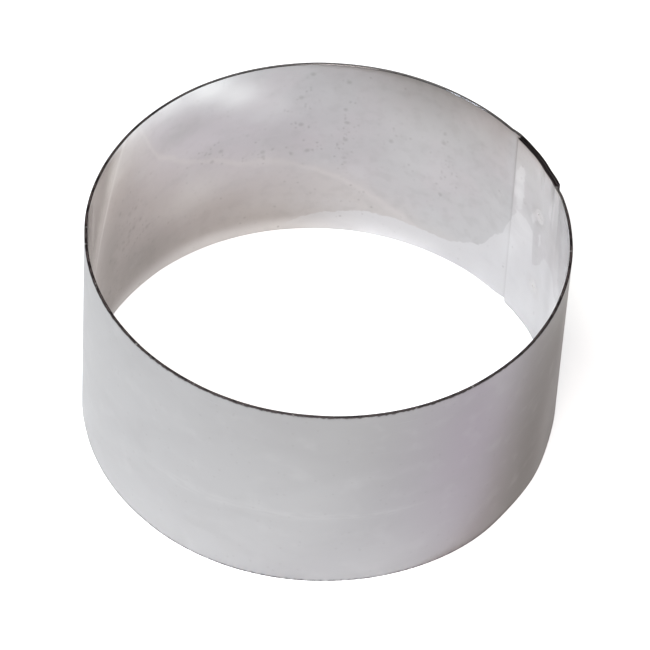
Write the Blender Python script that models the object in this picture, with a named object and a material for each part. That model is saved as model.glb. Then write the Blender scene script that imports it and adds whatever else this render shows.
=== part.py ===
"""Tart ring: one strip of thin stainless steel, rolled round, lapped and spot welded.

Run with: blender --background --python part.py
Units are metres and +Z is up. The origin is on the ring's axis, at its bottom edge.
Angles are seen from above and run anticlockwise from +X.

The strip starts at its outer end, passes over its own inner end, steps inwards through a
joggle, goes once round, steps inwards through a second joggle, and ends under its own
beginning. Spot welds hold the two layers.
"""
import math

import bmesh
import bpy
import numpy as np

# Strip
OUTER_DIAMETER = 0.090        # across the outside of a single layer
BAND_HEIGHT = 0.045
SHEET_THICKNESS = 0.00055
EDGE_BREAK = 0.00008          # chamfer that takes the burr off each cut edge

# Lap seam
OUTER_END_ANGLE = math.radians(21.0)
LAP_LENGTH = 0.0140           # how far the outer end runs over the inner end
LAP_GAP = 0.00005             # air between the two layers
OUTER_STEP = 0.00040          # how far the outer layer stands out of the single layer's round
JOGGLE_SETBACK = 0.0002       # from each end's edge to the joggle in the layer that passes it
JOGGLE_LENGTH = 0.0030        # sloping run of a joggle

# Spot welds
WELD_COUNT = 2
WELD_DIAMETER = 0.0040
WELD_EDGE_DISTANCE = 0.0130   # from the band's top and bottom edges to the nearest weld's centre
WELD_END_DISTANCE = 0.0048    # from the outer end's edge to the welds' centres
WELD_CLEARANCE = 0.00005      # between a weld and its hole in the strip
ELECTRODE_FLAT_DIAMETER = 0.0026
ELECTRODE_DENT = 0.00008      # depth of the electrode's mark, below the weld's rim

# Fineness of the facets
LAP_FACETS = 10
JOGGLE_FACETS = 8
ROUND_FACETS = 168            # round the rest of the band
WELD_FACETS = 32
SHARP_ANGLE = math.radians(35.0)
CUT_OVERRUN = 0.0010          # how far a cutter stands out of the sheet on each side

# Worked out from the sizes above
OUTER_RADIUS = OUTER_DIAMETER / 2.0
FULL_TURN = 2.0 * math.pi
MIDDLE_RADIUS = OUTER_RADIUS - SHEET_THICKNESS / 2.0
LAYER_STEP = SHEET_THICKNESS + LAP_GAP
LAP_THICKNESS = SHEET_THICKNESS + LAYER_STEP
INNER_STEP = LAYER_STEP - OUTER_STEP
LAP_ANGLE = LAP_LENGTH / OUTER_RADIUS
JOGGLE_ANGLE = JOGGLE_LENGTH / OUTER_RADIUS
OUTER_JOGGLE_START = LAP_ANGLE + JOGGLE_SETBACK / OUTER_RADIUS
INNER_JOGGLE_START = FULL_TURN - JOGGLE_ANGLE - JOGGLE_SETBACK / OUTER_RADIUS
WELD_ANGLE = OUTER_END_ANGLE + WELD_END_DISTANCE / OUTER_RADIUS
WELD_RADIUS = WELD_DIAMETER / 2.0


def clear_scene():
    """Removes the objects that a new Blender file opens with."""
    for leftover in list(bpy.data.objects):
        bpy.data.objects.remove(leftover, do_unlink=True)


def steel(name, colour, roughness):
    """A bare metal surface."""
    material = bpy.data.materials.new(name)
    material.use_nodes = True
    shader = material.node_tree.nodes["Principled BSDF"]
    shader.inputs["Base Color"].default_value = (*colour, 1.0)
    shader.inputs["Metallic"].default_value = 1.0
    shader.inputs["Roughness"].default_value = roughness
    return material


def add_object(name, mesh, material=None, parent=None):
    """Links a new object with the mesh, under the parent if there is one."""
    thing = bpy.data.objects.new(name, mesh)
    bpy.context.scene.collection.objects.link(thing)
    thing.parent = parent
    if material is not None and not mesh.materials:
        mesh.materials.append(material)
    return thing


def mesh_from(bm, name):
    """Turns the working mesh into a mesh with its faces outwards."""
    bmesh.ops.recalc_face_normals(bm, faces=bm.faces)
    mesh = bpy.data.meshes.new(name)
    bm.to_mesh(mesh)
    bm.free()
    return mesh


def strip_turns():
    """Angles travelled from the outer end to each fold line of the strip.

    The lap's two layers have the same fold lines, so that their facets lie face to face.
    """
    outer_lap = np.linspace(0.0, LAP_ANGLE, LAP_FACETS + 1)
    joggle = np.linspace(0.0, JOGGLE_ANGLE, JOGGLE_FACETS + 1)
    outer_joggle = OUTER_JOGGLE_START + joggle
    inner_joggle = INNER_JOGGLE_START + joggle
    single = np.linspace(outer_joggle[-1], inner_joggle[0], ROUND_FACETS + 1)[1:-1]
    inner_lap = FULL_TURN + outer_lap
    return np.concatenate([outer_lap, outer_joggle, single, inner_joggle, inner_lap])


def joggle_share(turn, start):
    """How much of a joggle's step is done: 0 before it, 1 after it, and a cubic ease between."""
    share = np.clip((turn - start) / JOGGLE_ANGLE, 0.0, 1.0)
    return share * share * (3.0 - 2.0 * share)


def strip_radius(turn):
    """Radius of the sheet's middle: further out until the first joggle, further in after the second."""
    outwards = OUTER_STEP * (1.0 - joggle_share(turn, OUTER_JOGGLE_START))
    inwards = INNER_STEP * joggle_share(turn, INNER_JOGGLE_START)
    return MIDDLE_RADIUS + outwards - inwards


def rolled_sheet():
    """The sheet's middle surface: its plan line, drawn up to the band's height."""
    turn = strip_turns()
    radius = strip_radius(turn)
    angle = OUTER_END_ANGLE + turn
    plan = zip(radius * np.cos(angle), radius * np.sin(angle))
    bm = bmesh.new()
    corners = [bm.verts.new((x, y, 0.0)) for x, y in plan]
    lower_edge = [bm.edges.new(pair) for pair in zip(corners, corners[1:])]
    drawn = bmesh.ops.extrude_edge_only(bm, edges=lower_edge)
    upper_corners = [item for item in drawn["geom"] if isinstance(item, bmesh.types.BMVert)]
    bmesh.ops.translate(bm, verts=upper_corners, vec=(0.0, 0.0, BAND_HEIGHT))
    return mesh_from(bm, "rolled_sheet")


def seat_in_lap(thing, index):
    """Puts a weld or its cutter in the middle of the lap's two layers, its Z axis outwards."""
    stack_middle = MIDDLE_RADIUS + (OUTER_STEP - INNER_STEP) / 2.0
    spaces = max(WELD_COUNT - 1, 1)
    pitch = (BAND_HEIGHT - 2.0 * WELD_EDGE_DISTANCE) / spaces
    thing.location = (
        stack_middle * math.cos(WELD_ANGLE),
        stack_middle * math.sin(WELD_ANGLE),
        WELD_EDGE_DISTANCE + index * pitch,
    )
    thing.rotation_euler = (0.0, math.pi / 2.0, WELD_ANGLE)


def weld_hole_cutter():
    """A cylinder that cuts a weld's hole through both layers."""
    radius = WELD_RADIUS + WELD_CLEARANCE
    bm = bmesh.new()
    bmesh.ops.create_cone(
        bm,
        cap_ends=True,
        segments=WELD_FACETS,
        radius1=radius,
        radius2=radius,
        depth=LAP_THICKNESS + 2.0 * CUT_OVERRUN,
    )
    return mesh_from(bm, "weld_hole_cutter")


def apply_modifiers(thing):
    """Keeps the modified shape as the object's own mesh, smooth but for its corners."""
    graph = bpy.context.evaluated_depsgraph_get()
    finished = bpy.data.meshes.new_from_object(thing.evaluated_get(graph))
    thing.modifiers.clear()
    thing.data = finished
    finished.shade_smooth()
    finished.set_sharp_from_angle(angle=SHARP_ANGLE)


def make_band(material, parent):
    """The rolled strip, with its thickness, its eased edges and its holes at the welds."""
    band = add_object("band", rolled_sheet(), material, parent)
    thickness = band.modifiers.new("Sheet thickness", "SOLIDIFY")
    thickness.thickness = SHEET_THICKNESS
    thickness.offset = 0.0
    thickness.use_even_offset = True
    edges = band.modifiers.new("Eased edges", "BEVEL")
    edges.width = EDGE_BREAK
    edges.segments = 1
    edges.limit_method = "ANGLE"
    edges.angle_limit = SHARP_ANGLE
    cutter_mesh = weld_hole_cutter()
    cutters = []
    for index in range(WELD_COUNT):
        cutter = add_object(f"weld_hole_cutter_{index + 1}", cutter_mesh)
        cutter.hide_render = True
        cutter.display_type = "WIRE"
        seat_in_lap(cutter, index)
        cutters.append(cutter)
        hole = band.modifiers.new(f"Weld hole {index + 1}", "BOOLEAN")
        hole.object = cutter
        hole.operation = "DIFFERENCE"
        hole.solver = "EXACT"
    apply_modifiers(band)
    for cutter in cutters:
        bpy.data.objects.remove(cutter, do_unlink=True)
    return band


def weld_mesh():
    """A spot weld: a round slug through both layers, dented at each end by an electrode.

    Its rims lie as deep as the band's round outside falls away over the weld's radius,
    so they stand out of neither wall.
    """
    fall = OUTER_RADIUS - math.sqrt(OUTER_RADIUS**2 - WELD_RADIUS**2)
    rim = LAP_THICKNESS / 2.0 - fall
    dent = rim - ELECTRODE_DENT
    flat = ELECTRODE_FLAT_DIAMETER / 2.0
    outline = [(flat, -dent), (WELD_RADIUS, -rim), (WELD_RADIUS, rim), (flat, dent)]
    bm = bmesh.new()
    points = [bm.verts.new((across, 0.0, along)) for across, along in outline]
    profile = [bm.edges.new(pair) for pair in zip(points, points[1:])]
    bmesh.ops.spin(
        bm,
        geom=points + profile,
        axis=(0.0, 0.0, 1.0),
        cent=(0.0, 0.0, 0.0),
        steps=WELD_FACETS,
        angle=FULL_TURN,
        use_merge=True,
    )
    bmesh.ops.holes_fill(bm, edges=bm.edges, sides=WELD_FACETS)
    mesh = mesh_from(bm, "spot_weld")
    mesh.shade_smooth()
    mesh.set_sharp_from_angle(angle=SHARP_ANGLE)
    return mesh


def make_welds(material, parent):
    """The row of spot welds that holds the lap."""
    mesh = weld_mesh()
    for index in range(WELD_COUNT):
        weld = add_object(f"spot_weld_{index + 1}", mesh, material, parent)
        seat_in_lap(weld, index)


def build():
    clear_scene()
    ring = add_object("tart_ring", None)
    make_band(steel("stainless_sheet", (0.62, 0.61, 0.60), 0.22), ring)
    make_welds(steel("weld_metal", (0.50, 0.49, 0.48), 0.38), ring)


build()
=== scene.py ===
import math

import bpy
import numpy as np
from mathutils import Matrix, Quaternion, Vector


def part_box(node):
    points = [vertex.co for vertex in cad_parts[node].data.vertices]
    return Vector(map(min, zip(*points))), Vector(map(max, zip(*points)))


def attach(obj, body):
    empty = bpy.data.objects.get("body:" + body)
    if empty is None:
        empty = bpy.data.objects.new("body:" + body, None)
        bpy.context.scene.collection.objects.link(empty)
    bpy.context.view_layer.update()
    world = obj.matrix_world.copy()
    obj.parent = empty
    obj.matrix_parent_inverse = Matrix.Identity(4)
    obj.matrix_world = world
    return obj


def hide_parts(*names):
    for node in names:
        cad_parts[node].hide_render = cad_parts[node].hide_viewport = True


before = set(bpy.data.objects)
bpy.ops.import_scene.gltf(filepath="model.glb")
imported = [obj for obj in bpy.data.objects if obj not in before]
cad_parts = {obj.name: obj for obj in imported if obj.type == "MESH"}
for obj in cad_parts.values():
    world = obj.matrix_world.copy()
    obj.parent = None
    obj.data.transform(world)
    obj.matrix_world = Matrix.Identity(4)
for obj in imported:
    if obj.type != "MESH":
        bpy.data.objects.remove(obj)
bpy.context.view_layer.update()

# The band
# One strip of stainless steel sheet, rolled into a ring and lapped over its own end, with a short
# joggle at each end of the lap. Bright inside, satin outside, with sheared and blackened edges.
band_low, band_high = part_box("band")
BAND_HEIGHT = band_high.z - band_low.z
OUTER_RADIUS = min(band_high.x - band_low.x, band_high.y - band_low.y) / 2.0
FULL_TURN = 2.0 * math.pi
SHEET = 0.00055
LAP_GAP = 0.00005
LAP_LENGTH = 0.0140
OUTER_STEP = 0.00040
INNER_STEP = SHEET + LAP_GAP - OUTER_STEP
JOGGLE_SETBACK = 0.0002
JOGGLE_LENGTH = 0.0030
OUTER_END_ANGLE = math.radians(21.0)
LAP_ANGLE = LAP_LENGTH / OUTER_RADIUS
JOGGLE_ANGLE = JOGGLE_LENGTH / OUTER_RADIUS
OUTER_JOGGLE = LAP_ANGLE + JOGGLE_SETBACK / OUTER_RADIUS
INNER_JOGGLE = FULL_TURN - JOGGLE_ANGLE - JOGGLE_SETBACK / OUTER_RADIUS
# The shears round the inner corner of each edge and leave a sharp burr at the outer one.
ROLLOVER_RADIUS = 0.00009
BURR_RADIUS = 0.00006
LAP_STATIONS = 72
JOGGLE_STATIONS = 24
ROUND_STATIONS = 560
FACE_ROWS = 54
CORNER_ROWS = 4
SHARP_ANGLE = math.radians(40.0)
SMALL_TURN = 1e-4
FAR_AWAY = 1.0

# The two spot welds, whose places the band's dents and its finer rows need
WELD_DIAMETER = 0.0040
WELD_EDGE_DISTANCE = 0.0130
WELD_END_DISTANCE = 0.0048
WELD_HEIGHTS = (WELD_EDGE_DISTANCE, BAND_HEIGHT - WELD_EDGE_DISTANCE)
WELD_ANGLE = OUTER_END_ANGLE + WELD_END_DISTANCE / OUTER_RADIUS
WELD_RADIUS = WELD_DIAMETER / 2.0
DENT_REACH = 0.0014
DENT_DEPTH = 0.00003
# Under a weld's own end the sheet's surface drops out of sight.
HOLLOW_RADII = (0.0008, 0.0012)
HOLLOW_DEPTH = 0.00008
# The faces' rows are closer together near the welds.
ROW_CROWDING = 2.6
ROW_CROWDING_REACH = 0.0028
ROW_COUNT_STEPS = 2001

# Waves left by the rolls: how many round the ring, how many up it, and how deep, in metres
ROLL_WAVES = (
    (3, 0.3, 26e-6),
    (5, 0.5, 20e-6),
    (9, 0.7, 16e-6),
    (14, 1.0, 13e-6),
    (22, 1.5, 9e-6),
    (34, 2.0, 5e-6),
)
WAVE_SEED = 11
WAVE_ROOM = 90e-6
# Ripples that pressing the lap left in both of its layers: the same three numbers
LAP_RIPPLES = ((31, 1.6, 40e-6), (52, -2.6, 24e-6), (83, 3.4, 10e-6))
RIPPLE_ANGLE = math.radians(28.0)
RIPPLE_REACH = math.radians(11.0)
# The thin ring is a little out of round at its bottom: where, how far round, and how far outwards
BOTTOM_SETS = ((-118.0, 38.0, 0.45e-3), (-32.0, 14.0, -0.80e-3), (-11.0, 11.0, -0.62e-3))

# Marks of use inside, and painted reflections. A film ends below in a crisp line, under which the
# metal is painted brighter as a painted reflection of the lit floor, as it is in a few bright
# patches above the line. A second line is a painted reflection of a shadow's edge: pale along it,
# with a warmer tint painted below it. Lines are degrees round the ring and shares of the height;
# bright patches and patches of spots are a middle and half sizes, given the same way.
BRIGHT_REFLECTION_LINE = (
    (-180.0, -0.10), (-145.0, -0.08), (-120.0, 0.06), (-95.0, 0.16), (-60.0, 0.31),
    (-20.0, 0.40), (8.0, 0.46), (12.0, 0.44), (15.0, 0.45), (17.0, 0.51), (20.0, 0.55),
    (23.0, 0.52), (25.0, 0.46), (27.0, 0.42), (28.7, 0.39), (29.5, 0.59), (36.0, 0.60),
    (38.0, 0.56), (39.5, 0.50), (41.0, 0.44), (42.0, 0.385), (44.0, 0.345), (46.0, 0.29),
    (48.0, 0.22), (50.0, 0.195), (54.0, 0.16), (58.0, 0.125), (65.0, 0.12), (76.0, 0.135),
    (84.0, 0.13), (92.0, 0.10), (98.0, 0.07), (104.0, 0.02), (112.0, -0.10), (300.0, -0.10),
)
REFLECTED_SHADOW_EDGE = (
    (-180.0, 1.20), (-150.0, 0.90), (-115.0, 0.45), (-80.0, 0.12), (-60.0, -0.20),
    (66.0, 0.10), (84.0, 0.28), (97.0, 0.39), (114.0, 0.46), (124.0, 0.53),
    (138.0, 0.72), (142.0, 0.87), (150.0, 1.20), (300.0, 1.20),
)
# Bright patches above the line, painted as the same reflection of the lit floor
BRIGHT_REFLECTION_PATCHES = (
    (36.6, 0.74, 1.8, 0.14),
    (29.5, 0.665, 1.0, 0.040),
    (21.4, 0.825, 1.5, 0.040),
    (20.2, 0.86, 1.0, 0.075),
    (26.2, 0.57, 0.7, 0.035),
    (14.0, 0.93, 2.0, 0.040),
)
SPOT_PATCHES = (
    (87.0, 0.62, 2.0, 0.28, 1.0),
    (99.0, 0.70, 3.0, 0.22, 0.7),
    (96.0, 0.48, 2.4, 0.08, 0.8),
    (109.0, 0.50, 3.2, 0.06, 0.9),
    (122.0, 0.57, 4.0, 0.06, 0.8),
    (75.0, 0.62, 2.4, 0.07, 0.9),
    (59.5, 0.58, 2.4, 0.14, 0.8),
    (148.0, 0.38, 9.0, 0.20, 0.8),
)
# A painted highlight along the inside's foot, a painted reflection of the lit floor beside it:
# where round the ring, and how high
FOOT_HIGHLIGHT_ANGLE = 122.0
FOOT_HIGHLIGHT_REACH = 55.0
FOOT_HIGHLIGHT_HEIGHT = 0.0047
# Painted shade in the corner where the inner end's edge meets the layer behind it
SEAM_SHADE_SETBACK = 0.0007
SEAM_SHADE_REACH = 0.0004
SEAM_SHADE_LEAST = 0.2
# Painted highlights and painted shade, standing for mirrored light and shadow: a middle, half sizes
# and a strength, on each face
INSIDE_PAINTED_LIGHT = (
    (122.5, 0.97, 6.0, 0.075, 0.98),
    (114.5, 0.87, 6.0, 0.078, 0.70),
    (104.0, 0.79, 5.0, 0.090, 0.18),
    (134.0, 1.00, 7.0, 0.075, 0.80),
    (146.0, 1.00, 6.0, 0.075, 0.55),
    (156.0, 0.88, 7.0, 0.105, 0.66),
    (131.0, 0.79, 8.0, 0.065, -0.32),
    (75.0, 0.78, 16.0, 0.150, 0.09),
    (14.0, 0.75, 7.0, 0.180, -0.33),
    (165.0, 0.76, 7.0, 0.250, 0.17),
    (141.0, 0.55, 6.0, 0.120, 0.10),
    (121.0, 0.58, 6.0, 0.080, -0.09),
    (108.0, 0.73, 6.0, 0.070, 0.08),
    (101.0, 0.95, 5.0, 0.050, -0.06),
    (67.0, 0.50, 9.0, 0.120, 0.07),
    (128.0, 0.35, 11.0, 0.130, 0.42),
    (143.0, 0.16, 13.0, 0.130, -0.47),
    (159.0, 0.40, 8.0, 0.220, -0.53),
    (104.0, 0.56, 10.0, 0.100, -0.17),
    (66.0, 0.68, 12.0, 0.160, 0.14),
    (32.0, 0.96, 9.0, 0.090, 0.33),
    (39.0, 0.35, 4.0, 0.100, 0.22),
    (19.0, 0.45, 9.5, 0.750, -0.24),
    (53.0, 0.87, 8.0, 0.090, 0.20),
    (39.5, 0.80, 3.5, 0.200, 0.10),
    (36.5, 0.73, 2.2, 0.140, 0.34),
    (33.0, 0.54, 4.5, 0.070, 0.22),
    (28.0, 0.955, 2.5, 0.030, 0.30),
    (36.0, 0.46, 5.0, 0.100, 0.10),
    (108.0, 0.17, 7.0, 0.060, 0.14),
    (170.4, 0.72, 1.2, 0.340, 0.38),
    (176.5, 0.92, 1.7, 0.140, 0.36),
)
OUTSIDE_PAINTED_LIGHT = (
    (-26.0, 0.22, 11.0, 0.72, -0.78),
    (-12.0, 0.74, 6.5, 0.26, -0.42),
    (-11.0, 0.12, 5.0, 0.16, -0.26),
    (-163.0, 0.45, 10.0, 0.60, -0.07),
    (-41.0, 0.86, 8.0, 0.24, 0.12),
    (-75.0, 0.70, 8.0, 0.30, -0.09),
    (-36.0, 0.06, 8.0, 0.24, -0.22),
    (-18.0, 0.75, 6.0, 0.30, -0.22),
    (-76.0, 0.10, 12.0, 0.15, 0.10),
    (-90.0, 0.94, 30.0, 0.28, -0.21),
    (-155.0, 0.10, 14.0, 0.18, -0.10),
)
# A painted reflection of the wall's foot: a pale line up the left of the inside, along these places
# and shares of the height. Past its ends it counts as far above the band.
MIRRORED_FOOT_LINE = (
    (148.0, 1.10), (152.0, 0.975), (156.0, 0.85), (160.0, 0.72),
    (164.0, 0.60), (168.0, 0.46), (172.0, 0.30),
)
PAST_MIRRORED_FOOT = 2.0
# Painted shade along the foot of the outside, a mirrored contact shadow: where, how far round, and
# how much, and how high it reaches
CONTACT_SHADE = ((-38.0, 15.0, 0.50), (-163.0, 10.0, 0.15))
CONTACT_SHADE_HEIGHT = 0.0018
# A line of scuffs round the outside, and a broad painted shade to the right of its front, a
# mirrored shadow with a purple tint, given as the painted highlights and shade are
SCUFF_HEIGHT = 0.38
SCUFF_DRIFT = 0.02
SCUFF_HALF_WIDTH = 0.0007
SCUFF_FROM = -140.0
SCUFF_TO = -60.0
SCUFF_FADE = 12.0
MIRRORED_SHADE = (-50.0, 0.66, 17.0, 0.75, 0.55)
# Where the film inside turns rosy
ROSY = (122.0, 0.58, 38.0, 0.42, 0.55)
# Where the edges are painted paler, a painted sheen at the back and front where light falls on
# them: where, how far round, and how much
EDGE_SHEEN_PLACES = ((80.0, 46.0, 1.0), (-75.0, 60.0, 0.16))
# A stretch of the inside that is polished brighter, at the left
POLISHED_ANGLE = 168.0
POLISHED_REACH = 14.0


def ease(share):
    """A cubic ease of a share: 0 up to 0, 1 from 1 on."""
    share = np.clip(share, 0.0, 1.0)
    return share**2 * (3.0 - 2.0 * share)


def joggle_share(turn, start):
    """How much of a joggle's step is done: 0 before it, 1 after it, and a cubic ease between."""
    return ease((turn - start) / JOGGLE_ANGLE)


def strip_plan(turn):
    """Plan points of the strip's middle line, by the angle travelled from its outer end.

    The radius is an outer step larger until the first joggle, the single layer's between the
    joggles, and an inner step smaller after the second.
    """
    outwards = OUTER_STEP * (1.0 - joggle_share(turn, OUTER_JOGGLE))
    inwards = INNER_STEP * joggle_share(turn, INNER_JOGGLE)
    radius = OUTER_RADIUS - SHEET / 2.0 + outwards - inwards
    angle = OUTER_END_ANGLE + turn
    return np.stack([radius * np.cos(angle), radius * np.sin(angle)], axis=-1)


def bell(value, middle, reach):
    """A bell curve: 1 at the middle, a third of that at the reach from it."""
    return np.exp(-(((value - middle) / reach) ** 2))


def wave(angle, height, waves_round, waves_up, depth, phase):
    """A sine of the angle round the ring, whose phase leans along the height."""
    return depth * np.sin(waves_round * angle + phase + waves_up * math.pi * height / BAND_HEIGHT)


def rolling_waves(angle, height):
    """How far the sheet lies off its true circle: slow waves, ripples at the lap, and sets.

    The sum depends on the angle and the height alone, so the lap's two layers keep their
    distance. The ripples fade away from the lap as a bell curve. One even set keeps the waves
    inside the true circle, and the bottom's sets are bell curves that fade to nothing at the top.
    """
    draw = np.random.default_rng(WAVE_SEED)
    total = np.full(np.broadcast(angle, height).shape, -WAVE_ROOM)
    for waves_round, waves_up, depth in ROLL_WAVES:
        phase, lean = draw.uniform(0.0, FULL_TURN, 2)
        total += wave(angle, height, waves_round, waves_up * math.sin(lean), depth, phase)
    for place, reach, depth in BOTTOM_SETS:
        total += depth * bell(np.degrees(angle), place, reach) * (1.0 - height / BAND_HEIGHT)
    near_lap = bell(angle, RIPPLE_ANGLE, RIPPLE_REACH)
    for waves_round, waves_up, depth in LAP_RIPPLES:
        phase = draw.uniform(0.0, FULL_TURN)
        total += near_lap * wave(angle, height, waves_round, waves_up, depth, phase)
    return total


def from_weld(angle, height):
    """Distance along the sheet from the middle of the nearest weld."""
    around = (angle - WELD_ANGLE) * OUTER_RADIUS
    return np.minimum(*[np.hypot(around, height - weld_height) for weld_height in WELD_HEIGHTS])


def weld_pull(angle, height):
    """Depth of the dent round a weld, eased out over its reach, and of the hollow under its end."""
    away = from_weld(angle, height)
    dent = DENT_DEPTH * ease(1.0 - (away - WELD_RADIUS) / DENT_REACH)
    near, far = HOLLOW_RADII
    return dent + HOLLOW_DEPTH * ease((far - away) / (far - near))


def row_heights(low_corner, high_corner):
    """Heights of a face's rows: even steps of a running count that climbs faster near the welds."""
    fine = np.linspace(0.0, BAND_HEIGHT, ROW_COUNT_STEPS)
    crowding = [bell(fine, middle, ROW_CROWDING_REACH) for middle in WELD_HEIGHTS]
    density = 1.0 + ROW_CROWDING * sum(crowding)
    count = np.concatenate([[0.0], np.cumsum((density[1:] + density[:-1]) / 2.0)])
    heights = np.interp(np.linspace(0.0, count[-1], FACE_ROWS), count, fine)
    return low_corner + heights * (1.0 - (low_corner + high_corner) / BAND_HEIGHT)


def corner_arc(across, height, radius, quarter):
    """A quarter circle about (across, height), clockwise from the quarter that it starts at."""
    bearing = (quarter - np.linspace(0.0, 1.0, CORNER_ROWS + 2)[1:-1]) * math.pi / 2.0
    return np.stack([across + radius * np.cos(bearing), height + radius * np.sin(bearing)], axis=-1)


def strip_section():
    """Closed section of the strip as (across, height), and whether each stretch is cut edge.

    It runs up the inner face, over the top, down the outer face and back under the bottom.
    Across is measured outwards from the middle of the sheet, and each corner is a quarter circle.
    """
    half = SHEET / 2.0
    inner_corner = -half + ROLLOVER_RADIUS
    outer_corner = half - BURR_RADIUS
    middle = (inner_corner + outer_corner) / 2.0
    flat = np.array([[inner_corner, 0.0], [middle, 0.0], [outer_corner, 0.0]])
    inner_rows = row_heights(ROLLOVER_RADIUS, ROLLOVER_RADIUS)
    outer_rows = row_heights(BURR_RADIUS, BURR_RADIUS)[::-1]
    pieces = (
        (np.stack([np.full(FACE_ROWS, -half), inner_rows], axis=-1), False),
        (corner_arc(inner_corner, BAND_HEIGHT - ROLLOVER_RADIUS, ROLLOVER_RADIUS, 2), False),
        (flat + (0.0, BAND_HEIGHT), True),
        (corner_arc(outer_corner, BAND_HEIGHT - BURR_RADIUS, BURR_RADIUS, 1), True),
        (np.stack([np.full(FACE_ROWS, half), outer_rows], axis=-1), False),
        (corner_arc(outer_corner, BURR_RADIUS, BURR_RADIUS, 0), True),
        (flat[::-1], True),
        (corner_arc(inner_corner, ROLLOVER_RADIUS, ROLLOVER_RADIUS, 3), False),
    )
    points = np.concatenate([piece for piece, cut in pieces])
    is_cut = np.concatenate([np.full(len(piece), cut) for piece, cut in pieces])
    return points, is_cut


def height_above(line, degrees, share, **ends):
    """Height in metres above a line of degrees round the ring and shares of the band's height."""
    return BAND_HEIGHT * (share - np.interp(degrees, *np.array(line).T, **ends))


def patched(patches, degrees, share):
    """The sum of soft patches: each is a bell round the ring times one up it and a strength."""
    return sum(
        strength * bell(degrees, place, reach) * bell(share, level, rise)
        for place, level, reach, rise, strength in patches
    )


def stretches(places, degrees):
    """The sum of soft stretches round the ring: each is a bell times a strength."""
    return sum(strength * bell(degrees, place, reach) for place, reach, strength in places)


def use_marks(angle, height):
    """The marks of use and the painted light: heights above the two lines and the mirrored foot
    line, and the rest from 0 to 1.

    A bright patch is a dip in the height above the film's line, as deep as the point lies inside
    an ellipse. Other patches are products of bell curves, one round the ring and one up it,
    and the foot and the edges of lines are bell curves of one distance.
    """
    degrees = np.degrees(angle) + 0.0 * height
    share = height / BAND_HEIGHT + 0.0 * angle
    above_bright_reflection = height_above(BRIGHT_REFLECTION_LINE, degrees, share)
    for place, level, reach, rise in BRIGHT_REFLECTION_PATCHES:
        beyond = np.hypot((degrees - place) / reach, (share - level) / rise) - 1.0
        above_bright_reflection = np.minimum(above_bright_reflection, beyond * OUTER_RADIUS * math.radians(reach))
    spotting = np.zeros(degrees.shape)
    for place, level, reach, rise, density in SPOT_PATCHES:
        patch = bell(degrees, place, reach) * bell(share, level, rise)
        spotting = np.maximum(spotting, density * patch)
    setting_in = np.clip((degrees - SCUFF_FROM) / SCUFF_FADE, 0.0, 1.0)
    fading_out = np.clip((SCUFF_TO - degrees) / SCUFF_FADE, 0.0, 1.0)
    along = (degrees - SCUFF_FROM) / (SCUFF_TO - SCUFF_FROM)
    scuff_height = BAND_HEIGHT * (SCUFF_HEIGHT + SCUFF_DRIFT * along)
    at_foot = np.clip(1.0 - height / FOOT_HIGHLIGHT_HEIGHT, 0.0, 1.0)
    # Most of these are painted light: the two lines, the mirrored foot line, both faces' highlights
    # and shade, the foot, the broad shade, the contact shade and the edges' sheen.
    return {
        "above_bright_reflection": above_bright_reflection,
        "above_reflected_shadow_edge": height_above(REFLECTED_SHADOW_EDGE, degrees, share),
        "above_mirrored_foot": height_above(MIRRORED_FOOT_LINE, degrees, share, left=PAST_MIRRORED_FOOT, right=PAST_MIRRORED_FOOT),
        "spotting": spotting,
        "painted_light_inside": patched(INSIDE_PAINTED_LIGHT, degrees, share),
        "painted_light_outside": patched(OUTSIDE_PAINTED_LIGHT, degrees, share),
        "foot": bell(degrees, FOOT_HIGHLIGHT_ANGLE, FOOT_HIGHLIGHT_REACH) * at_foot,
        "scuffing": setting_in * fading_out * bell(height, scuff_height, SCUFF_HALF_WIDTH),
        "mirrored_shade": patched((MIRRORED_SHADE,), degrees, share),
        "rosy": patched((ROSY,), degrees, share),
        "contact_shade": stretches(CONTACT_SHADE, degrees) * ease(1.0 - height / CONTACT_SHADE_HEIGHT),
        "edge_sheen": stretches(EDGE_SHEEN_PLACES, degrees),
        "polish": bell(degrees, POLISHED_ANGLE, POLISHED_REACH),
    }


def strip_stations():
    """Angles travelled to each station, closer together in the lap and its joggles."""
    lap = np.linspace(0.0, LAP_ANGLE, LAP_STATIONS + 1)
    joggle = np.linspace(0.0, JOGGLE_ANGLE, JOGGLE_STATIONS + 1)
    outer_joggle = OUTER_JOGGLE + joggle
    inner_joggle = INNER_JOGGLE + joggle
    single = np.linspace(outer_joggle[-1], inner_joggle[0], ROUND_STATIONS + 1)[1:-1]
    return np.concatenate([lap, outer_joggle, single, inner_joggle, FULL_TURN + lap])


def plan_normals(turn):
    """The plan line's own outward normals: its direction just there, turned a quarter round."""
    step = strip_plan(turn + SMALL_TURN) - strip_plan(turn - SMALL_TURN)
    step /= np.linalg.norm(step, axis=1, keepdims=True)
    return np.stack([step[:, 1], -step[:, 0]], axis=-1)


def band_measures(turn, angle, across, height, on_stack):
    """What the materials read at each point: its place in the sheet and the lap, and its marks.

    The core is a parabola, 1 in the middle of the sheet and 0 at its faces. The seam's painted
    shade is a bell curve of the distance from the inner end, and grows with the cube of the height.
    """
    setback = (turn - LAP_ANGLE) * OUTER_RADIUS
    seam_shade = SEAM_SHADE_LEAST + (1.0 - SEAM_SHADE_LEAST) * (height / BAND_HEIGHT) ** 3
    return {
        "from_cut": np.minimum(height, BAND_HEIGHT - height),
        "inside": across < -SHEET / 4.0,
        "core": 1.0 - (2.0 * across / SHEET) ** 2,
        "from_weld": np.where(on_stack, from_weld(angle, height), FAR_AWAY),
        "seam_shade": seam_shade * bell(setback, SEAM_SHADE_SETBACK, SEAM_SHADE_REACH),
        "stacked": on_stack,
        **use_marks(angle, height),
    }


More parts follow.
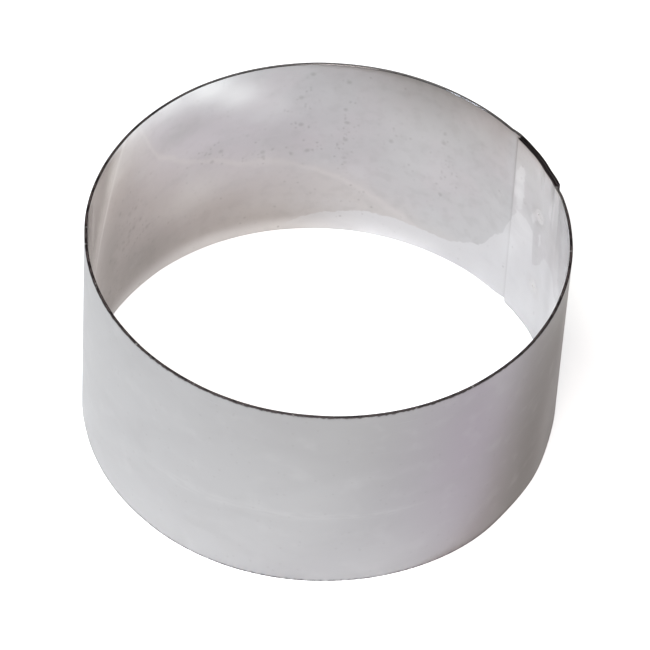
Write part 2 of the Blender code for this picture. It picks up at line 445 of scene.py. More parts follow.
def band_mesh():
    """The section carried along the strip's plan line, and closed at both ends.

    A point is the plan point, moved along the plan's own outward normal by the section's
    across, with the waves and the dents at the welds added to that.
    """
    turn = strip_stations()
    section, is_cut = strip_section()
    stations, around = len(turn), len(section)
    angle = ((OUTER_END_ANGLE + turn + math.pi) % FULL_TURN - math.pi)[:, None]
    height = section[None, :, 1]
    side = np.sign(section[None, :, 0])
    # An electrode presses the stack's two outer faces only, so the layers' touching faces stay.
    in_outer_layer = (turn < (LAP_ANGLE + OUTER_JOGGLE) / 2.0)[:, None]
    in_inner_layer = (turn > FULL_TURN - SMALL_TURN)[:, None]
    pressed = (in_outer_layer & (side > 0)) | (in_inner_layer & (side < 0))
    across = section[None, :, 0] + rolling_waves(angle, height)
    across = across - side * pressed * weld_pull(angle, height)
    normal = plan_normals(turn)
    points = np.empty((stations, around, 3))
    points[..., :2] = strip_plan(turn)[:, None, :] + normal[:, None, :] * across[..., None]
    points[..., 2] = height
    index = np.arange(stations * around).reshape(stations, around)
    after = np.roll(index, -1, axis=1)
    walls = np.stack([index[:-1], after[:-1], after[1:], index[1:]], axis=-1).reshape(-1, 4)
    mesh = bpy.data.meshes.new("rolled_band")
    faces = walls.tolist() + [index[0, ::-1].tolist(), index[-1].tolist()]
    mesh.from_pydata(points.reshape(-1, 3), [], faces)
    # Slot 1 is the cut edge: the long edges' flats and burrs. Slot 2 is the two end faces.
    slots = np.concatenate([np.tile(is_cut, stations - 1), [2, 2]])
    mesh.polygons.foreach_set("material_index", slots.astype(np.int32))
    girth = np.concatenate([[0.0], np.cumsum(np.hypot(*np.diff(section, axis=0).T))])
    on_strip = np.empty((stations, around, 2))
    on_strip[..., 0] = turn[:, None] * OUTER_RADIUS
    on_strip[..., 1] = girth
    corners = np.empty(len(mesh.loops), np.int32)
    mesh.loops.foreach_get("vertex_index", corners)
    layer = mesh.uv_layers.new(name="strip")
    layer.data.foreach_set("uv", on_strip.reshape(-1, 2)[corners].astype(np.float32).ravel())
    everywhere = np.zeros((stations, around))
    on_stack = in_outer_layer | in_inner_layer
    measures = band_measures(turn[:, None], angle, section[None, :, 0], height, on_stack)
    for name, values in measures.items():
        add_measure(mesh, name, everywhere + values)
    mesh.shade_smooth()
    mesh.set_sharp_from_angle(angle=SHARP_ANGLE)
    return mesh


def add_measure(mesh, name, values):
    """Stores one number for each point of the mesh, for a material to read."""
    attribute = mesh.attributes.new(name, "FLOAT", "POINT")
    attribute.data.foreach_set("value", np.ravel(values).astype(np.float32))


def new_material(name, colour, roughness, metallic=1.0):
    """A material with its node tree and its Principled shader."""
    material = bpy.data.materials.new(name)
    material.use_nodes = True
    tree = material.node_tree
    shader = tree.nodes["Principled BSDF"]
    shader.inputs["Base Color"].default_value = (*colour, 1.0)
    shader.inputs["Roughness"].default_value = roughness
    shader.inputs["Metallic"].default_value = metallic
    return material, tree, shader


def feed(tree, socket, value):
    """Links a socket to another one, or sets it to a number, a vector or a colour."""
    if isinstance(value, bpy.types.NodeSocket):
        tree.links.new(value, socket)
    else:
        socket.default_value = value


def maths(tree, operation, *values):
    """A Math node on numbers or sockets."""
    node = tree.nodes.new("ShaderNodeMath")
    node.operation = operation
    for socket, value in zip(node.inputs, values):
        feed(tree, socket, value)
    return node.outputs["Value"]


def eased(tree, value, low, high):
    """0 up to low, 1 from high on, and a smooth step between; falling where low is above high."""
    node = tree.nodes.new("ShaderNodeMapRange")
    node.interpolation_type = "SMOOTHSTEP"
    feed(tree, node.inputs["Value"], value)
    rising = low < high
    node.inputs["From Min"].default_value = min(low, high)
    node.inputs["From Max"].default_value = max(low, high)
    node.inputs["To Min"].default_value = 0.0 if rising else 1.0
    node.inputs["To Max"].default_value = 1.0 if rising else 0.0
    return node.outputs["Result"]


def mixed(tree, share, first, second):
    """A colour between two, by a share from 0 to 1."""
    node = tree.nodes.new("ShaderNodeMix")
    node.data_type = "RGBA"
    sockets = [socket for socket in node.inputs if socket.enabled]
    for socket, value in zip(sockets, (share, first, second)):
        feed(tree, socket, value)
    return next(socket for socket in node.outputs if socket.enabled)


def measure(tree, name):
    """A number that the mesh stores for each point."""
    node = tree.nodes.new("ShaderNodeAttribute")
    node.attribute_name = name
    return node.outputs["Fac"]


def stretched(tree, vector, along, across):
    """The place on the strip, with cells of 1/along by 1/across metres made squares."""
    node = tree.nodes.new("ShaderNodeVectorMath")
    node.operation = "MULTIPLY"
    feed(tree, node.inputs[0], vector)
    node.inputs[1].default_value = (along, across, 1.0)
    return node.outputs["Vector"]


def cloud(tree, vector, scale=1.0, detail=2.0, roughness=0.5, distortion=0.0):
    """Soft noise from 0 to 1, about 0.5."""
    node = tree.nodes.new("ShaderNodeTexNoise")
    feed(tree, node.inputs["Vector"], vector)
    node.inputs["Scale"].default_value = scale
    node.inputs["Detail"].default_value = detail
    node.inputs["Roughness"].default_value = roughness
    node.inputs["Distortion"].default_value = distortion
    return node.outputs["Fac"]


# A speck is solid out to this share of its radius.
SPECK_CORE = 0.2


def specks(tree, vector, scale, radius, share):
    """Round specks: in a share of the cells, 1 at the cell's own point and 0 from the radius on."""
    node = tree.nodes.new("ShaderNodeTexVoronoi")
    feed(tree, node.inputs["Vector"], vector)
    node.inputs["Scale"].default_value = scale
    chosen = tree.nodes.new("ShaderNodeSeparateColor")
    tree.links.new(node.outputs["Color"], chosen.inputs["Color"])
    near = eased(tree, node.outputs["Distance"], radius, radius * SPECK_CORE)
    return maths(tree, "MULTIPLY", near, maths(tree, "LESS_THAN", chosen.outputs["Red"], share))


def bumped(tree, shader, height, distance):
    """Gives the shader a relief of that depth in metres."""
    node = tree.nodes.new("ShaderNodeBump")
    node.inputs["Distance"].default_value = distance
    feed(tree, node.inputs["Height"], height)
    tree.links.new(node.outputs["Normal"], shader.inputs["Normal"])


def times(tree, value, factor):
    """A number or socket times another."""
    return maths(tree, "MULTIPLY", value, factor)


def plus(tree, value, other):
    """A number or socket plus another."""
    return maths(tree, "ADD", value, other)


def ranged(tree, share, low, high):
    """The number that lies a share of the way from low to high."""
    return maths(tree, "MULTIPLY_ADD", share, high - low, low)


def painted(tree, colour, mask, cover, paint):
    """A colour with a paint over it, as strong as the mask times the cover."""
    return mixed(tree, times(tree, mask, cover), colour, paint)


def wander(tree, vector, scale, detail, roughness, depth):
    """Noise about 0, times a depth in metres."""
    noise = cloud(tree, vector, scale=scale, detail=detail, roughness=roughness)
    return times(tree, plus(tree, noise, -0.5), depth)


OUTSIDE_COLOUR = (0.600, 0.600, 0.604, 1.0)
FILM_COLOUR = (0.598, 0.600, 0.598, 1.0)
FILM_PINK = (0.616, 0.602, 0.606, 1.0)
# A warmer tint painted below the second line, standing for mirrored warm shade
WARM_SHADE_COLOUR = (0.615, 0.597, 0.578, 1.0)
# Pale along the second line: a painted reflection of a shadow's edge
REFLECTED_EDGE_COLOUR = (0.680, 0.655, 0.640, 1.0)
# Painted bright below the film's line: a painted reflection of the lit floor
BRIGHT_REFLECTION_COLOUR = (0.700, 0.700, 0.700, 1.0)
# A painted highlight at the inside's foot
FOOT_HIGHLIGHT_COLOUR = (0.920, 0.920, 0.915, 1.0)
WIPED_COLOUR = (0.500, 0.495, 0.500, 1.0)
# Painted highlights: the smears above 0, and the painted reflection of the foot up the left
PAINTED_HIGHLIGHT_COLOUR = (0.960, 0.972, 0.960, 1.0)
# Dull blotches, and the painted shade of the smears below 0
DULL_AND_SHADE_COLOUR = (0.300, 0.288, 0.280, 1.0)
ROSY_COLOUR = (0.612, 0.568, 0.598, 1.0)
# Dark spots and specks, and the seam's painted shade
SPOT_AND_SHADE_COLOUR = (0.230, 0.205, 0.200, 1.0)
SCUFF_COLOUR = (0.690, 0.690, 0.690, 1.0)
# The broad painted shade to the right of the front, a mirrored shadow
MIRRORED_SHADE_COLOUR = (0.480, 0.403, 0.480, 1.0)
# Dark burr and edges, and painted shade in the lap's gap and at the outside's foot
BURR_AND_SHADE_COLOUR = (0.060, 0.048, 0.050, 1.0)
HEAT_COLOUR = (0.480, 0.450, 0.420, 1.0)
# How strongly each mark covers what lies under it
BLOTCH_COVER = 0.13
REFLECTED_EDGE_COVER = 0.6
SPOT_COVER = 0.30
SEAM_SHADE_COVER = 0.90
MIRRORED_FOOT_COVER = 0.48
ROLLOVER_COVER = 0.95
# How much of the rolled-over corner's darkness stays where the edges get their painted sheen
SHEEN_ROLLOVER = 0.68
CHAFE_COVER = 0.5
BURR_COVER = 0.75
BURR_FRINGE_COVER = 0.18
WIPE_COVER = 0.24
MOTTLE_COVER = 0.22
SPECK_COVER = 0.09
HAIR_COVER = 0.18
HEAT_COVER = 0.12
# Patterns: cells to a metre, and where there are two numbers, along the strip and across it
GRAIN_CELLS = (40.0, 5200.0)
HAIR_CELLS = (55.0, 2400.0)
WIPE_CELLS = (60.0, 110.0)
MOTTLE_CELLS = (170.0, 200.0)
CHAFE_CELLS = (260.0, 1500.0)
BLOTCH_CELLS = 380.0
TINT_CELLS = 70.0
BRIGHT_REFLECTION_CELLS = 330.0
REFLECTED_EDGE_CELLS = 120.0
BURR_CELLS = 1100.0
LARGE_SPOT_CELLS = 560.0
SMALL_SPOT_CELLS = 1150.0
SPECK_CELLS = 900.0
# The radius of spots and specks in their cells, and the share of the cells that have one
SPOT_RADIUS = 0.46
LARGE_SPOT_SHARE = 0.50
SMALL_SPOT_SHARE = 0.55
STRAY_SPOT_SHARE = 0.014
SPECK_RADIUS = 0.36
SPECK_SHARE = 0.16
# Where a pattern is turned into a mark: nothing at the first value, all of it at the second
HAIR_SETS_IN = (0.68, 0.78)
WIPE_SETS_IN = (0.42, 0.75)
MOTTLE_SETS_IN = (0.50, 0.75)
CHAFE_SETS_IN = (0.35, 0.6)
BLOTCH_SETS_IN = (0.45, 0.70)
TINT_SETS_IN = (0.42, 0.62)
FOOT_HIGHLIGHT_SETS_IN = (0.0, 0.75)
# The same by a distance in metres: from a line, a cut edge or a weld
BRIGHT_REFLECTION_EDGE = (-0.00014, 0.00014)
WARM_SHADE_EDGE = (0.0060, -0.0030)
REFLECTED_EDGE_BELOW = (-0.0014, 0.0)
REFLECTED_EDGE_ABOVE = (0.0014, 0.0)
MIRRORED_FOOT_BELOW = (-0.0022, 0.0)
MIRRORED_FOOT_ABOVE = (0.0011, 0.0002)
ROLLOVER_EDGE = (0.00012, 0.00007)
GAP_SHADE_EDGE = (0.00025, 0.00012)
BURR_EDGE = (0.00030, 0.00010)
BURR_FRINGE = (0.00070, 0.00020)
HEAT_EDGE = (0.0036, 0.0021)
# How far the edges of the film, of the mirrored shadow edge and of the burr wander, in metres
BRIGHT_REFLECTION_WANDER = 0.0024
REFLECTED_EDGE_WANDER = 0.0050
BURR_WANDER = 0.0007
# Roughness of the two faces, and what the marks add to it
INSIDE_ROUGHNESS = 0.09
OUTSIDE_ROUGHNESS = 0.28
WIPE_ROUGHENING = 0.08
FILM_ROUGHENING = 0.02
SPOT_ROUGHENING = 0.18
BURR_ROUGHENING = 0.3
POLISH_SMOOTHING = -0.05
GRAIN_DEPTH = 4e-7


def dried_film(tree, place):
    """The film inside: how much of it there is, and its colour.

    It ends below in a wandering line, and the metal below it is painted brighter, a painted
    reflection of the lit floor. It is grey and pink in clouds, with a warmer tint painted below a
    second line, which is a painted reflection of a shadow's edge and is pale, and it has dull
    blotches and a rosy patch.
    """
    # The film's lower line: below it the metal is painted brighter, a painted reflection of the lit
    # floor.
    line_wander = wander(tree, place, BRIGHT_REFLECTION_CELLS, 3.0, 0.62, BRIGHT_REFLECTION_WANDER)
    film = eased(tree, plus(tree, measure(tree, "above_bright_reflection"), line_wander), *BRIGHT_REFLECTION_EDGE)
    # The second line: a painted reflection of a shadow's edge, with a warmer tint painted below it.
    edge_wander = wander(tree, place, REFLECTED_EDGE_CELLS, 2.0, 0.5, REFLECTED_EDGE_WANDER)
    above_shadow_edge = plus(tree, measure(tree, "above_reflected_shadow_edge"), edge_wander)
    pink = eased(tree, cloud(tree, place, scale=TINT_CELLS, detail=3.0), *TINT_SETS_IN)
    colour = mixed(tree, pink, FILM_COLOUR, FILM_PINK)
    colour = mixed(tree, eased(tree, above_shadow_edge, *WARM_SHADE_EDGE), colour, WARM_SHADE_COLOUR)
    blotches = eased(tree, cloud(tree, place, scale=BLOTCH_CELLS), *BLOTCH_SETS_IN)
    colour = painted(tree, colour, blotches, BLOTCH_COVER, DULL_AND_SHADE_COLOUR)
    colour = mixed(tree, measure(tree, "rosy"), colour, ROSY_COLOUR)
    below = eased(tree, above_shadow_edge, *REFLECTED_EDGE_BELOW)
    above = eased(tree, above_shadow_edge, *REFLECTED_EDGE_ABOVE)
    colour = painted(tree, colour, times(tree, below, above), REFLECTED_EDGE_COVER, REFLECTED_EDGE_COLOUR)
    return film, colour


def dark_spots(tree, place):
    """Small dark spots of two sizes: many in the spotted patches, and a few stray ones."""
    spotting = measure(tree, "spotting")
    share = times(tree, spotting, LARGE_SPOT_SHARE)
    large = specks(tree, place, LARGE_SPOT_CELLS, SPOT_RADIUS, share)
    share = plus(tree, times(tree, spotting, SMALL_SPOT_SHARE), STRAY_SPOT_SHARE)
    small = specks(tree, place, SMALL_SPOT_CELLS, SPOT_RADIUS, share)
    return times(tree, maths(tree, "MAXIMUM", large, small), SPOT_COVER)


def inside_colour(tree, film, film_colour, spots, gap_shade):
    """Painted bright reflection below the film, film and spots, a painted highlight at the foot,
    painted shade at the seam, a painted reflection of the foot up the left, and the rolled-over
    edge with the gap's painted shade.
    """
    # Below the film's line the metal is painted brighter: a painted reflection of the lit floor.
    colour = mixed(tree, film, BRIGHT_REFLECTION_COLOUR, film_colour)
    # The foot is painted pale: a painted reflection of the lit floor beside it.
    colour = mixed(tree, eased(tree, measure(tree, "foot"), *FOOT_HIGHLIGHT_SETS_IN), colour, FOOT_HIGHLIGHT_COLOUR)
    colour = mixed(tree, spots, colour, SPOT_AND_SHADE_COLOUR)
    # Painted shade along the seam, darker towards the top.
    colour = painted(tree, colour, measure(tree, "seam_shade"), SEAM_SHADE_COVER, SPOT_AND_SHADE_COLOUR)
    # A painted reflection of the wall's foot: a pale line up the left of the inside.
    level = measure(tree, "above_mirrored_foot")
    mirrored_foot = times(tree, eased(tree, level, *MIRRORED_FOOT_BELOW), eased(tree, level, *MIRRORED_FOOT_ABOVE))
    colour = painted(tree, colour, mirrored_foot, MIRRORED_FOOT_COVER, PAINTED_HIGHLIGHT_COLOUR)
    # The rolled-over corner is less dark where the edges get a painted sheen.
    without_sheen = ranged(tree, measure(tree, "edge_sheen"), 1.0, SHEEN_ROLLOVER)
    rollover = times(tree, eased(tree, measure(tree, "from_cut"), *ROLLOVER_EDGE), without_sheen)
    # The gap's painted shade: black near the edges where the strip is lapped.
    rollover = maths(tree, "MAXIMUM", rollover, gap_shade)
    return painted(tree, colour, rollover, ROLLOVER_COVER, BURR_AND_SHADE_COLOUR)


def ragged_burr(tree, place, outside):
    """The dark line that the burr makes along the outside's edges, with a faint fringe."""
    ragged = wander(tree, place, BURR_CELLS, 1.0, 0.5, BURR_WANDER)
    depth = plus(tree, measure(tree, "from_cut"), ragged)
    line = times(tree, eased(tree, depth, *BURR_EDGE), BURR_COVER)
    fringe = times(tree, eased(tree, depth, *BURR_FRINGE), BURR_FRINGE_COVER)
    return times(tree, plus(tree, line, fringe), outside)


def outside_colour(tree, place, burr):
    """Satin metal, a broad painted shade, the line of scuffs, painted contact shade at the foot and
    the burr.
    """
    chafing = cloud(tree, stretched(tree, place, *CHAFE_CELLS))
    chafed = times(tree, measure(tree, "scuffing"), eased(tree, chafing, *CHAFE_SETS_IN))
    # A broad painted shade to the right of the front: a mirrored shadow.
    colour = mixed(tree, measure(tree, "mirrored_shade"), OUTSIDE_COLOUR, MIRRORED_SHADE_COLOUR)
    colour = painted(tree, colour, chafed, CHAFE_COVER, SCUFF_COLOUR)
    # Painted contact shade at the outside's foot.
    colour = mixed(tree, measure(tree, "contact_shade"), colour, BURR_AND_SHADE_COLOUR)
    return mixed(tree, burr, colour, BURR_AND_SHADE_COLOUR)


def with_painted_light(tree, colour, inside, outside):
    """Painted highlights and shade on both faces: paler where their sum is above 0, and darker
    where it is below.
    """
    painted_light = plus(
        tree,
        times(tree, measure(tree, "painted_light_inside"), inside),
        times(tree, measure(tree, "painted_light_outside"), outside),
    )
    # A sum above 0 paints a highlight, and one below 0 paints shade.
    colour = mixed(tree, maths(tree, "MAXIMUM", painted_light, 0.0), colour, PAINTED_HIGHLIGHT_COLOUR)
    painted_shade = maths(tree, "MAXIMUM", times(tree, painted_light, -1.0), 0.0)
    return mixed(tree, painted_shade, colour, DULL_AND_SHADE_COLOUR)


def finely_marked(tree, colour, place, wipes):
    """Cloudy wipe marks, a soft mottle, specks, hairline scratches and a tint round the welds."""
    colour = painted(tree, colour, eased(tree, wipes, *WIPE_SETS_IN), WIPE_COVER, WIPED_COLOUR)
    mottle = cloud(tree, stretched(tree, place, *MOTTLE_CELLS), detail=3.0)
    mottle = eased(tree, mottle, *MOTTLE_SETS_IN)
    colour = painted(tree, colour, mottle, MOTTLE_COVER, SCUFF_COLOUR)
    specked = specks(tree, place, SPECK_CELLS, SPECK_RADIUS, SPECK_SHARE)
    colour = painted(tree, colour, specked, SPECK_COVER, SPOT_AND_SHADE_COLOUR)
    hairs = cloud(tree, stretched(tree, place, *HAIR_CELLS), detail=1.0)
    hairs = eased(tree, hairs, *HAIR_SETS_IN)
    colour = painted(tree, colour, hairs, HAIR_COVER, SCUFF_COLOUR)
    heat = eased(tree, measure(tree, "from_weld"), *HEAT_EDGE)
    return painted(tree, colour, heat, HEAT_COVER, HEAT_COLOUR)


def rolled_steel():
    """Rolled stainless sheet, bright inside and satin outside, with the marks of both faces.

    Painted highlights and shade and fine marks lie over those, and a fine grain runs along the
    strip.
    """
    material, tree, shader = new_material(
        "bright_rolled_steel", OUTSIDE_COLOUR[:3], OUTSIDE_ROUGHNESS)
    strip = tree.nodes.new("ShaderNodeUVMap")
    strip.uv_map = "strip"
    place = strip.outputs["UV"]
    inside = measure(tree, "inside")
    outside = maths(tree, "SUBTRACT", 1.0, inside)
    # Near the edges where the strip is lapped, the gap between the layers is painted black as its
    # shade.
    near_cut = eased(tree, measure(tree, "from_cut"), *GAP_SHADE_EDGE)
    gap_shade = times(tree, near_cut, measure(tree, "stacked"))
    film, film_colour = dried_film(tree, place)
    spots = dark_spots(tree, place)
    burr = ragged_burr(tree, place, outside)
    inner = inside_colour(tree, film, film_colour, spots, gap_shade)
    colour = mixed(tree, inside, outside_colour(tree, place, burr), inner)
    # Painted highlights and painted shade on both faces
    colour = with_painted_light(tree, colour, inside, outside)
    wipes = cloud(tree, stretched(tree, place, *WIPE_CELLS), detail=4.0, distortion=0.8)
    colour = finely_marked(tree, colour, place, wipes)
    # The gap between the lap's layers is painted black as its shade: no other mark lies over it.
    colour = mixed(tree, times(tree, gap_shade, inside), colour, BURR_AND_SHADE_COLOUR)
    tree.links.new(colour, shader.inputs["Base Color"])
    roughness = ranged(tree, inside, OUTSIDE_ROUGHNESS, INSIDE_ROUGHNESS)
    changes = (
        (wipes, WIPE_ROUGHENING),
        (times(tree, film, inside), FILM_ROUGHENING),
        (times(tree, spots, inside), SPOT_ROUGHENING),
        (burr, BURR_ROUGHENING),
        (times(tree, measure(tree, "polish"), inside), POLISH_SMOOTHING),
    )
    for mask, amount in changes:
        roughness = plus(tree, roughness, times(tree, mask, amount))
    tree.links.new(roughness, shader.inputs["Roughness"])
    grain = cloud(tree, stretched(tree, place, *GRAIN_CELLS), detail=3.0, roughness=0.6)
    bumped(tree, shader, grain, GRAIN_DEPTH)
    return material


TORN_COLOUR = (0.048, 0.036, 0.039, 1.0)
CORE_COLOUR = (0.34, 0.27, 0.26, 1.0)
NICK_COLOUR = (0.62, 0.60, 0.58, 1.0)
# The edges' painted sheen
EDGE_SHEEN_COLOUR = (0.46, 0.44, 0.43, 1.0)
TORN_CELLS = 2400.0
TORN_COVER = 0.5
TORN_ROUGHNESS = (0.45, 0.7)
TORN_DEPTH = 5e-6
CORE_CELLS = 420.0
CORE_SETS_IN = (0.55, 0.95)
CORE_PATCHES_SET_IN = (0.38, 0.56)
NICK_CELLS = 1100.0
NICK_RADIUS = 0.40
NICK_SHARE = 0.24
NICK_COVER = 0.75
EDGE_SHEEN_SETS_IN = (0.20, 0.48)
# How much blacker the edges are where the strip is lapped: the long edges, and the two ends
LONG_EDGE_BLACKENING = 0.95
END_BLACKENING = 0.20


def sheared_edge(name, blackening):
    """The cut edge: blackened steel, a paler burnished core, bright nicks and a painted sheen where
    light falls.
    """
    material, tree, shader = new_material(name, TORN_COLOUR[:3], TORN_ROUGHNESS[0])
    place = tree.nodes.new("ShaderNodeTexCoord").outputs["Object"]
    torn = cloud(tree, place, scale=TORN_CELLS, detail=3.0)
    patchy = eased(tree, cloud(tree, place, scale=CORE_CELLS), *CORE_PATCHES_SET_IN)
    core = times(tree, eased(tree, measure(tree, "core"), *CORE_SETS_IN), patchy)
    colour = mixed(tree, core, TORN_COLOUR, CORE_COLOUR)
    colour = painted(tree, colour, torn, TORN_COVER, TORN_COLOUR)
    nicks = specks(tree, place, NICK_CELLS, NICK_RADIUS, NICK_SHARE)
    colour = painted(tree, colour, nicks, NICK_COVER, NICK_COLOUR)
    # A painted sheen on the edge, paler at the back and front.
    sheen = times(tree, measure(tree, "edge_sheen"), eased(tree, torn, *EDGE_SHEEN_SETS_IN))
    colour = mixed(tree, sheen, colour, EDGE_SHEEN_COLOUR)
    colour = painted(tree, colour, measure(tree, "stacked"), blackening, TORN_COLOUR)
    tree.links.new(colour, shader.inputs["Base Color"])
    tree.links.new(ranged(tree, torn, *TORN_ROUGHNESS), shader.inputs["Roughness"])
    bumped(tree, shader, torn, TORN_DEPTH)
    return material


band = bpy.data.objects.new("rolled_band", band_mesh())
bpy.context.scene.collection.objects.link(band)
band.data.materials.append(rolled_steel())
band.data.materials.append(sheared_edge("sheared_edge", LONG_EDGE_BLACKENING))
band.data.materials.append(sheared_edge("sheared_end", END_BLACKENING))
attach(band, "root")
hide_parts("band")

# The spot welds
# Two round nuggets of the sheet's own steel, where electrodes pressed and fused the lap's layers.
# Each end shows as a shallow dish with a low rim, a little duller than the sheet.
NUGGET_RINGS = 18
NUGGET_SIDES = 72
DISH_RADII = (0.0005, 0.0012)
DISH_DEPTH = 0.000009
RIM_RISE = 0.000002
TUCK_DEPTH = 0.000007


def nugget_relief(across):
    """Height of a weld's end over the pressed sheet, by the distance from its middle.

    A flat dish, eased up to a rim that stands a little proud, and then a parabola that tucks
    the outer edge under the sheet's own surface.
    """
    near, far = DISH_RADII
    climb = ease((across - near) / (far - near))
    beyond = np.clip((across - far) / (WELD_RADIUS - far), 0.0, 1.0)
    return climb * (DISH_DEPTH + RIM_RISE) - DISH_DEPTH - TUCK_DEPTH * beyond**2


def nugget_mesh(weld_height):
    """A closed slug: two dished ends, each on its own face of the lap, joined at their edges.

    A point is a distance and a bearing from the weld's middle, laid on the band's round face,
    with the same waves and dent as the sheet has there.
    """
    across = np.linspace(0.0, WELD_RADIUS, NUGGET_RINGS + 1)[1:, None]
    bearing = np.linspace(0.0, FULL_TURN, NUGGET_SIDES + 1)[None, :-1]
    angle = WELD_ANGLE + across * np.cos(bearing) / OUTER_RADIUS
    height = weld_height + across * np.sin(bearing)
    sheet_face = rolling_waves(angle, height)
    relief = nugget_relief(across)
    outer_face = OUTER_RADIUS + OUTER_STEP - DENT_DEPTH
    inner_face = OUTER_RADIUS - SHEET - INNER_STEP + DENT_DEPTH
    outer = outer_face + sheet_face + relief
    inner = inner_face + sheet_face - relief
    middle_face = rolling_waves(np.array(WELD_ANGLE), np.array(weld_height))
    ends = (
        (outer, outer_face + middle_face - DISH_DEPTH),
        (inner, inner_face + middle_face + DISH_DEPTH),
    )
    places = []
    for radius, middle in ends:
        dish = np.stack([radius * np.cos(angle), radius * np.sin(angle), height], axis=-1)
        tip = [middle * math.cos(WELD_ANGLE), middle * math.sin(WELD_ANGLE), weld_height]
        places.append(np.vstack([[tip], dish.reshape(-1, 3)]))
    points = np.vstack(places)
    ring = 1 + np.arange(NUGGET_RINGS * NUGGET_SIDES).reshape(NUGGET_RINGS, NUGGET_SIDES)
    beside = np.roll(ring, -1, axis=1)
    fan = np.stack([np.zeros(NUGGET_SIDES, int), ring[0], beside[0]], axis=-1)
    grid = np.stack([ring[:-1], ring[1:], beside[1:], beside[:-1]], axis=-1).reshape(-1, 4)
    back = len(places[0])
    edge = np.stack([ring[-1], ring[-1] + back, beside[-1] + back, beside[-1]], axis=-1)
    faces = fan.tolist() + grid.tolist() + edge.tolist()
    faces += (fan[:, ::-1] + back).tolist() + (grid[:, ::-1] + back).tolist()
    mesh = bpy.data.meshes.new("weld_nugget")
    mesh.from_pydata(points, [], faces)
    from_middle = np.broadcast_to(across, (NUGGET_RINGS, NUGGET_SIDES)).ravel()
    add_measure(mesh, "from_middle", np.tile(np.concatenate([[0.0], from_middle]), 2))
    mesh.shade_smooth()
    mesh.set_sharp_from_angle(angle=SHARP_ANGLE)
    return mesh


DISH_COLOURS = ((0.64, 0.63, 0.62, 1.0), (0.72, 0.71, 0.70, 1.0))
BRIM_COLOUR = (0.65, 0.645, 0.64, 1.0)
BRIM_EDGE = (0.0006, 0.0016)
DISH_ROUGHNESS = 0.22
BRIM_ROUGHNESS = 0.14
DISH_CELLS = 1500.0
DISH_ROUGHENING = 0.1
DISH_GRAIN = 2e-6


def weld_metal():
    """Fused and pressed steel: mottled and dull in the dish, even and smoother outside it."""
    material, tree, shader = new_material("weld_metal", BRIM_COLOUR[:3], DISH_ROUGHNESS)
    place = tree.nodes.new("ShaderNodeTexCoord").outputs["Object"]
    mottle = cloud(tree, place, scale=DISH_CELLS, detail=4.0)
    out = eased(tree, measure(tree, "from_middle"), *BRIM_EDGE)
    colour = mixed(tree, out, mixed(tree, mottle, *DISH_COLOURS), BRIM_COLOUR)
    tree.links.new(colour, shader.inputs["Base Color"])
    roughness = ranged(tree, out, DISH_ROUGHNESS, BRIM_ROUGHNESS)
    roughness = plus(tree, roughness, times(tree, mottle, DISH_ROUGHENING))
    tree.links.new(roughness, shader.inputs["Roughness"])
    bumped(tree, shader, mottle, DISH_GRAIN)
    return material


pressed_weld = weld_metal()
for number, weld_height in enumerate(WELD_HEIGHTS, start=1):
    nugget = bpy.data.objects.new(f"weld_nugget_{number}", nugget_mesh(weld_height))
    bpy.context.scene.collection.objects.link(nugget)
    nugget.data.materials.append(pressed_weld)
    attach(nugget, "root")
    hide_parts(f"spot_weld_{number}")

# The floor
# A plain pale sweep, not part of the ring, whose shadow it keeps. It is lifted towards white where
# the camera sees it, all the way beyond the lamps' reach, and a little where metal mirrors it.
FLOOR_SIZE = 6.0
LAMPS_REACH = (0.3, 1.2)
FLOOR_COLOUR = (0.8, 0.8, 0.8)
FLOOR_ROUGHNESS = 0.9
FLOOR_LIFT_COLOUR = (0.98, 0.99, 1.0, 1.0)
FLOOR_LIFT_SEEN = 0.66
FLOOR_LIFT_MIRRORED = 0.02


def seen_and_mirrored(tree):
    """Whether the camera looks at a place, and whether a mirror image or a view through does."""
    path = tree.nodes.new("ShaderNodeLightPath").outputs
    mirrored = maths(tree, "MAXIMUM", path["Is Glossy Ray"], path["Is Transmission Ray"])
    return path["Is Camera Ray"], mirrored


bpy.ops.mesh.primitive_plane_add(size=FLOOR_SIZE, location=(0.0, 0.0, 0.0))
floor = bpy.context.object
floor.name = "floor"
floor_paint, tree, shader = new_material(
    "pale_floor", FLOOR_COLOUR, FLOOR_ROUGHNESS, metallic=0.0)
seen, mirrored = seen_and_mirrored(tree)
from_ring = tree.nodes.new("ShaderNodeVectorMath")
from_ring.operation = "LENGTH"
tree.links.new(tree.nodes.new("ShaderNodeTexCoord").outputs["Object"], from_ring.inputs[0])
unlit = eased(tree, from_ring.outputs["Value"], *LAMPS_REACH)
seen = times(tree, seen, ranged(tree, unlit, FLOOR_LIFT_SEEN, 1.0))
lift = plus(tree, seen, times(tree, mirrored, FLOOR_LIFT_MIRRORED))
shader.inputs["Emission Color"].default_value = FLOOR_LIFT_COLOUR
tree.links.new(lift, shader.inputs["Emission Strength"])
floor.data.materials.append(floor_paint)

# Light
# A dim room and three soft lamps: a cool one at the left, a larger warm one above the camera, and
# a weaker one at the back left. The room is white where the camera looks past the floor.
ROOM_COLOUR = (0.90, 0.95, 1.0, 1.0)
BACKDROP_COLOUR = (1.0, 1.0, 1.0, 1.0)
ROOM_STRENGTH = 0.025
ROOM_LIFT_SEEN = 0.975
ROOM_LIFT_MIRRORED = 0.005
LAMP_DISTANCE = 1.2
# Azimuth and elevation in degrees, width in metres, power in watts, and colour
LAMPS = (
    ("key", 204.0, 49.0, 0.26, 7.2, (0.79, 0.88, 1.0)),
    ("fill", 268.0, 60.0, 0.50, 8.9, (1.0, 0.918, 0.885)),
    ("back_left", 150.0, 40.0, 0.50, 3.9, (0.96, 1.0, 0.90)),
)


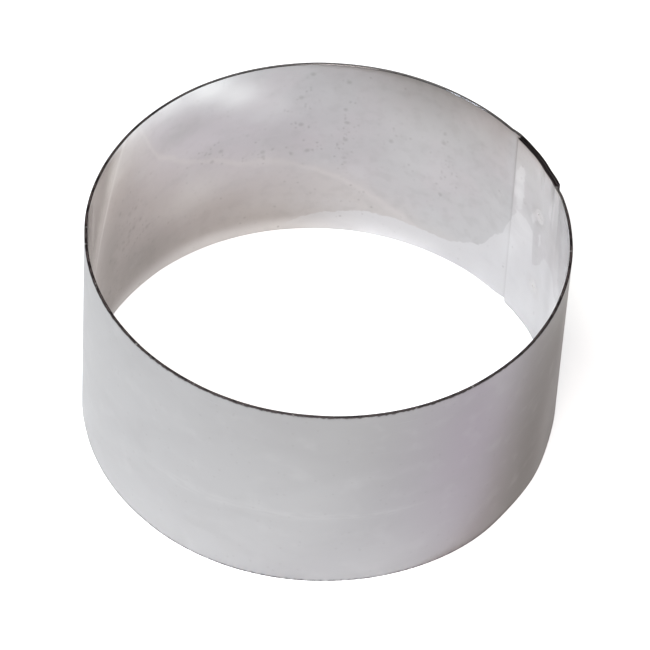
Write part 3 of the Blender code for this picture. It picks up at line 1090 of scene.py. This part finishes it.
def soft_lamp(name, azimuth, elevation, size, power, colour):
    """A round soft lamp at an azimuth and elevation in degrees, turned to the ring."""
    data = bpy.data.lights.new(name, "AREA")
    data.shape = "DISK"
    data.size = size
    data.energy = power
    data.color = colour
    lamp = bpy.data.objects.new(name, data)
    bpy.context.scene.collection.objects.link(lamp)
    level = math.cos(math.radians(elevation))
    lamp.location = LAMP_DISTANCE * Vector((
        level * math.cos(math.radians(azimuth)),
        level * math.sin(math.radians(azimuth)),
        math.sin(math.radians(elevation)),
    ))
    lamp.rotation_euler = (-lamp.location).to_track_quat("-Z", "Y").to_euler()


world = bpy.data.worlds.new("soft_room")
bpy.context.scene.world = world
world.use_nodes = True
tree = world.node_tree
background = tree.nodes["Background"]
seen, mirrored = seen_and_mirrored(tree)
tree.links.new(mixed(tree, seen, ROOM_COLOUR, BACKDROP_COLOUR), background.inputs["Color"])
lift = plus(tree, times(tree, seen, ROOM_LIFT_SEEN), times(tree, mirrored, ROOM_LIFT_MIRRORED))
tree.links.new(plus(tree, lift, ROOM_STRENGTH), background.inputs["Strength"])
for name, azimuth, elevation, size, power, colour in LAMPS:
    soft_lamp(name, azimuth, elevation, size, power, colour)

# The camera
# The photograph's view: a long lens from above the front, with the ring leaning a little and
# a little off the picture's middle.
PHOTO_SIZE = 650.0
FOCAL_PIXELS = 5692.0
SENSOR_WIDTH = 36.0
CAMERA_DISTANCE = 1.062
CAMERA_ELEVATION = math.radians(47.37)
CAMERA_ROLL = math.radians(-3.28)
AIM_SIDEWAYS = math.radians(-0.014)
AIM_UPWARDS = math.radians(-0.071)
camera_data = bpy.data.cameras.new("camera")
camera_data.sensor_width = SENSOR_WIDTH
camera_data.lens = FOCAL_PIXELS / PHOTO_SIZE * SENSOR_WIDTH
camera_data.clip_start = 0.01
camera_data.clip_end = 50.0
camera = bpy.data.objects.new("camera", camera_data)
bpy.context.scene.collection.objects.link(camera)
back = Vector((0.0, -math.cos(CAMERA_ELEVATION), math.sin(CAMERA_ELEVATION)))
right = Vector((1.0, 0.0, 0.0))
up = back.cross(right)
sideways = Quaternion(up, AIM_SIDEWAYS)
right, back_turned = sideways @ right, sideways @ back
upwards = Quaternion(right, AIM_UPWARDS)
up, back_turned = upwards @ up, upwards @ back_turned
roll = Quaternion(-back_turned, CAMERA_ROLL)
right, up = roll @ right, roll @ up
place = back * CAMERA_DISTANCE + Vector((0.0, 0.0, BAND_HEIGHT / 2.0))
turned = Matrix((right, up, back_turned)).transposed().to_4x4()
camera.matrix_world = Matrix.Translation(place) @ turned
bpy.context.scene.camera = camera
bpy.context.scene.view_settings.view_transform = "Standard"
